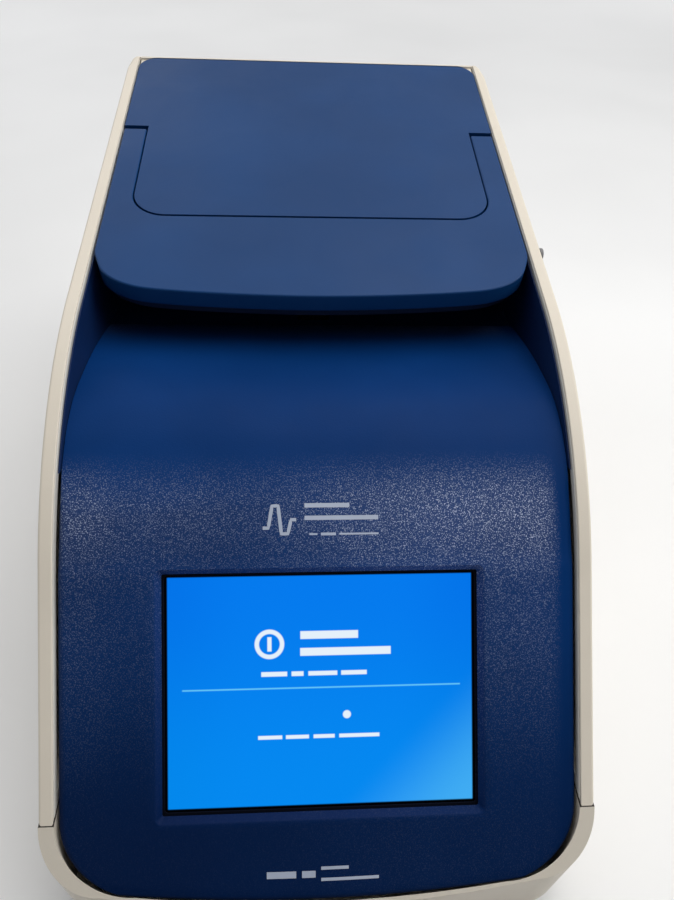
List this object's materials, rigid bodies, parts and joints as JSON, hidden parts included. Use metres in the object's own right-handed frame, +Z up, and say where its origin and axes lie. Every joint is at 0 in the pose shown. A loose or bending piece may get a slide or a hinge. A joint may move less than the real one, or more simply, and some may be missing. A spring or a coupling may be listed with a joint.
{
  "type": "thermal cycler",
  "caption": "Desktop PCR thermal cycler with a sloping touch-screen front, a multi-zone sample block under a hinged heated lid, and a lift handle round the lid.",
  "frame": {"origin": "middle of the footprint, on the bench, at the bottom of the feet", "axes": "+X to the right seen from the front, +Y to the back, +Z up; the screen faces -Y and up"},
  "size_m": [0.2394, 0.485, 0.2439],
  "materials": {
    "blue_plastic": "spark-textured moulded ABS, dark blue",
    "beige_plastic": "fine-textured moulded ABS, warm light grey",
    "black_plastic": "matte moulded",
    "grey_plastic": "matte moulded",
    "rubber": "matte",
    "screen": "glossy lit display behind touch glass",
    "aluminium": "fine machined",
    "steel": "zinc plated",
    "ceramic": "white ceramic plates",
    "foam": "closed-cell insulating foam",
    "circuit_board": "green solder mask",
    "heater_mat": "amber film heater"
  },
  "bodies": {
    "housing": {"front_fascia": "blue_plastic", "deck_cover": "blue_plastic", "side_panel_left": "beige_plastic", "side_panel_right": "beige_plastic", "base_tray": "beige_plastic", "rear_panel": "beige_plastic", "air_duct": "black_plastic", "cooling_fan_frame": "black_plastic", "rear_fan_frame": "black_plastic", "power_inlet": "black_plastic", "switch_bezel": "black_plastic", "block_frame": "grey_plastic", "side_plug": "grey_plastic", "display_gasket": "rubber", "block_seal": "rubber", "foot_1": "rubber", "foot_2": "rubber", "foot_3": "rubber", "foot_4": "rubber", "touch_glass": "screen", "heat_sink": "aluminium", "sample_block_zone_1": "aluminium", "sample_block_zone_2": "aluminium", "sample_block_zone_3": "aluminium", "sample_block_zone_4": "aluminium", "sample_block_zone_5": "aluminium", "sample_block_zone_6": "aluminium", "chassis_plate": "steel", "display_module": "steel", "display_bracket": "steel", "power_supply": "steel", "hinge_bracket_left": "steel", "hinge_bracket_right": "steel", "hinge_shaft": "steel", "hinge_spring_left": "steel", "hinge_spring_right": "steel", "latch_keeper": "steel", "ethernet_port": "steel", "usb_port": "steel", "peltier_module_1": "ceramic", "peltier_module_2": "ceramic", "peltier_module_3": "ceramic", "peltier_module_4": "ceramic", "peltier_module_5": "ceramic", "peltier_module_6": "ceramic", "control_board": "circuit_board", "driver_board": "circuit_board"},
    "lid": {"lid_cover": "blue_plastic", "lid_base": "blue_plastic"},
    "handle": {"lid_handle": "blue_plastic", "handle_pin_left": "steel", "handle_pin_right": "steel"},
    "platen": {"heated_platen": "aluminium", "platen_heater": "heater_mat", "platen_insulator": "foam"},
    "latch": {"latch_hook": "steel"},
    "rocker": {"power_rocker": "black_plastic"},
    "cooling_rotor": {"cooling_fan_rotor": "black_plastic"},
    "rear_rotor": {"rear_fan_rotor": "black_plastic"}
  },
  "joints": [
    {"name": "lid_hinge", "type": "hinge", "parent": "housing", "child": "lid", "pos_m": [0, 0.1842, 0.2214], "axis": [-1, 0, 0], "range_deg": [0, 75]},
    {"name": "handle_lift", "type": "hinge", "parent": "lid", "child": "handle", "pos_m": [0, 0.11435, 0.22308], "axis": [-1, 0, 0], "range_deg": [0, 35]},
    {"name": "platen_lift", "type": "slide", "parent": "lid", "child": "platen", "axis": [0, 0, 1], "range_m": [0, 0.004]},
    {"name": "latch_release", "type": "hinge", "parent": "lid", "child": "latch", "pos_m": [0, 0.029, 0.196], "axis": [1, 0, 0], "range_deg": [0, 8]},
    {"name": "power_switch", "type": "hinge", "parent": "housing", "child": "rocker", "pos_m": [-0.083, 0.2365, 0.116], "axis": [-1, 0, 0], "range_deg": [0, 16]},
    {"name": "cooling_fan_spin", "type": "hinge", "parent": "housing", "child": "cooling_rotor", "pos_m": [0, 0.085, 0.0525], "axis": [0, 0, 1], "continuous": true},
    {"name": "rear_fan_spin", "type": "hinge", "parent": "housing", "child": "rear_rotor", "pos_m": [0, 0.2175, 0.11], "axis": [0, 1, 0], "continuous": true}
  ],
  "couplings": [
    {"joint": "platen_lift", "follows": "handle_lift", "m_per_rad": 0.0065415},
    {"joint": "latch_release", "follows": "handle_lift", "ratio": 0.22834}
  ]
}
